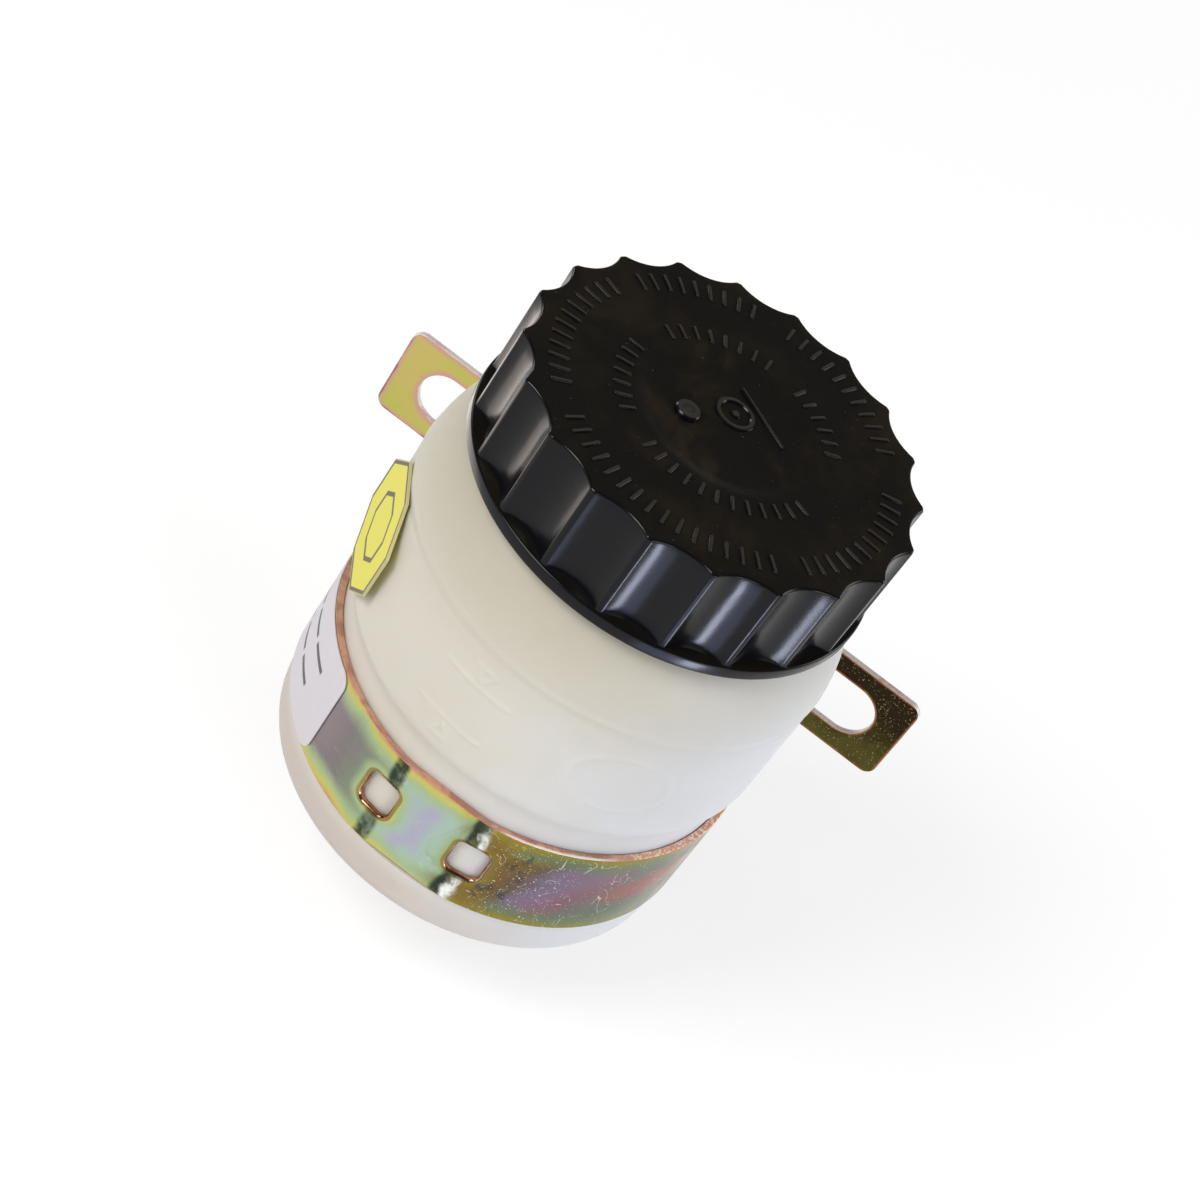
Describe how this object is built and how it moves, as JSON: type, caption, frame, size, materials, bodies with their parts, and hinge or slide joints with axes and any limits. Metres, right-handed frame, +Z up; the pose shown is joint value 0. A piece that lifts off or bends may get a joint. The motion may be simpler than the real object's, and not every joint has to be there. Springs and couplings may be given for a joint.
{
  "type": "clutch fluid reservoir",
  "caption": "Round translucent fluid bottle with a fluted black screw cap and a hose nipple below, held by a steel strap that ends in slotted ears.",
  "frame": {"origin": "on the bottle's axis, in the plane of its foot, where the hose nipple's wall passes through that plane", "axes": "+Z up along the bottle's axis to the cap, +Y back towards the wall that the strap's ears are bolted to, +X to the right seen from the front"},
  "size_m": [0.118, 0.0957, 0.1132],
  "materials": {
    "milky_plastic": "translucent satin",
    "black_plastic": "semi-gloss",
    "passivated_steel": "yellow passivated, glossy",
    "black_rubber": "matt",
    "strainer_plastic": "matt",
    "yellow_sticker": "semi-gloss",
    "white_label": "satin"
  },
  "bodies": {
    "reservoir": {"bottle": "milky_plastic", "strap": "passivated_steel", "strainer": "strainer_plastic", "octagon_sticker": "yellow_sticker", "strap_label": "white_label"},
    "seal": {"diaphragm": "black_rubber"},
    "cap": {"cap": "black_plastic"}
  },
  "joints": [
    {"name": "cap_lift", "type": "slide", "parent": "reservoir", "child": "seal", "axis": [0, 0, 1], "range_m": [0, 0.01002]},
    {"name": "cap_turn", "type": "hinge", "parent": "seal", "child": "cap", "pos_m": [0, 0, 0.0761], "axis": [0, 0, 1], "range_deg": [0, 720]}
  ],
  "couplings": [
    {"joint": "cap_lift", "follows": "cap_turn", "m_per_rad": 0.00079577}
  ]
}
